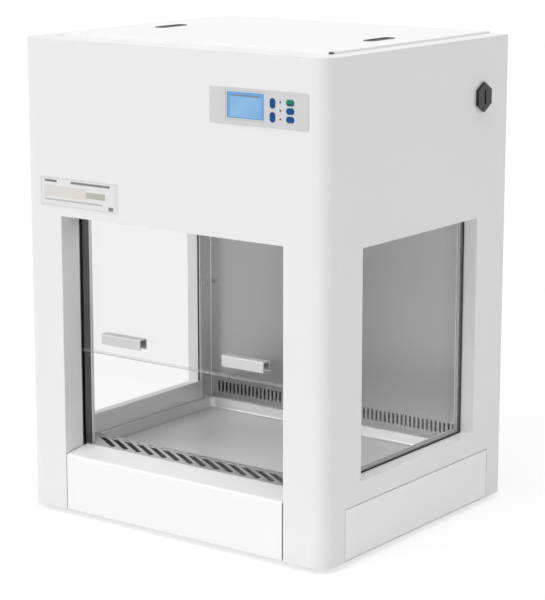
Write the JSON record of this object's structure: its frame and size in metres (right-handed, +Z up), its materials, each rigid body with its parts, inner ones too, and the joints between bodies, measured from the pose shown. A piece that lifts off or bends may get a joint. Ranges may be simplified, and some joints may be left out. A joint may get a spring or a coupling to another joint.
{
  "type": "laminar flow hood",
  "caption": "Bench-top laminar flow hood: white steel cabinet with a stainless work chamber, sliding glass sash, side windows, keypad panel and a fan and filter above.",
  "frame": {"origin": "on the bench, under the middle of the cabinet's body", "axes": "+Z up, -Y towards the operator at the front opening, +X to the operator's right"},
  "size_m": [0.6065, 0.5095, 0.7825],
  "materials": {
    "white_paint": "satin powder coat",
    "stainless": "brushed",
    "steel": "plain",
    "zinc": "zinc-plated",
    "clear_glass": "polished",
    "black_rubber": "matt",
    "foam_rubber": "matt",
    "anodised": "anodised",
    "filter_frame": "plain",
    "pale_grey_plastic": "fine texture",
    "display_blue": "clear window",
    "key_blue": "smooth",
    "key_teal": "smooth",
    "lamp_dark": "smooth",
    "board_green": "solder mask",
    "filter_paper": "glass-fibre paper",
    "grey_foam": "open foam",
    "tube_glass": "clear quartz",
    "white_plastic": "smooth",
    "black_plastic": "smooth",
    "black_steel": "electro-coated",
    "cast_alloy": "as cast"
  },
  "bodies": {
    "cabinet": {"outer_shell": "white_paint", "front_plinth_cover": "white_paint", "rear_panel": "white_paint", "top_cover": "white_paint", "base_cover_left": "white_paint", "base_cover_right": "white_paint", "bottom_pan": "zinc", "casing_screws": "steel", "liner_left": "stainless", "liner_right": "stainless", "liner_back": "stainless", "plenum_front": "stainless", "work_tray": "stainless", "front_grille": "stainless", "tray_supports": "stainless", "side_gaskets": "black_rubber", "side_glass_left": "clear_glass", "side_glass_right": "clear_glass", "sash_track_left": "anodised", "sash_track_right": "anodised", "sash_stops": "black_rubber", "sash_wiper": "black_rubber", "control_overlay": "pale_grey_plastic", "display_module": "display_blue", "indicator_lamps": "lamp_dark", "control_board": "board_green", "filter_seat": "zinc", "diffuser_screen": "white_paint", "hepa_gasket": "foam_rubber", "hepa_frame": "filter_frame", "hepa_media": "filter_paper", "fan_deck": "zinc", "fan_inlet_ring": "zinc", "fan_stator": "cast_alloy", "fan_bracket": "zinc", "prefilter": "grey_foam", "power_inlet": "black_plastic", "power_supply": "zinc", "work_light": "white_plastic", "lamp_holders": "white_plastic", "uv_lamp": "tube_glass", "side_port_plug": "black_plastic", "side_port_washer": "white_plastic", "side_port_nut": "black_plastic", "top_grip_left": "pale_grey_plastic", "top_grip_right": "pale_grey_plastic", "foot_front_left": "black_rubber", "foot_front_right": "black_rubber", "foot_rear_left": "black_rubber", "foot_rear_right": "black_rubber"},
    "sash": {"sash_glass": "clear_glass", "sash_handle_left": "anodised", "sash_handle_right": "anodised", "handle_screws": "steel"},
    "fan_rotor": {"fan_impeller": "black_steel"},
    "key_up_cap": {"key_up": "key_blue"},
    "key_down_cap": {"key_down": "key_blue"},
    "key_power_cap": {"key_power": "key_teal"},
    "key_light_cap": {"key_light": "key_teal"},
    "key_uv_cap": {"key_uv": "key_teal"}
  },
  "joints": [
    {"name": "sash_slide", "type": "slide", "parent": "cabinet", "child": "sash", "axis": [0, 0, 1], "range_m": [-0.157, 0.09]},
    {"name": "fan_spin", "type": "hinge", "parent": "cabinet", "child": "fan_rotor", "pos_m": [0, 0.0027, 0.6], "axis": [0, 0, 1], "continuous": true},
    {"name": "key_up_press", "type": "slide", "parent": "cabinet", "child": "key_up_cap", "axis": [0, 1, 0], "range_m": [0, 0.0008], "stiffness_N_per_m": 400},
    {"name": "key_down_press", "type": "slide", "parent": "cabinet", "child": "key_down_cap", "axis": [0, 1, 0], "range_m": [0, 0.0008], "stiffness_N_per_m": 400},
    {"name": "key_power_press", "type": "slide", "parent": "cabinet", "child": "key_power_cap", "axis": [0, 1, 0], "range_m": [0, 0.0008], "stiffness_N_per_m": 400},
    {"name": "key_light_press", "type": "slide", "parent": "cabinet", "child": "key_light_cap", "axis": [0, 1, 0], "range_m": [0, 0.0008], "stiffness_N_per_m": 400},
    {"name": "key_uv_press", "type": "slide", "parent": "cabinet", "child": "key_uv_cap", "axis": [0, 1, 0], "range_m": [0, 0.0008], "stiffness_N_per_m": 400}
  ]
}
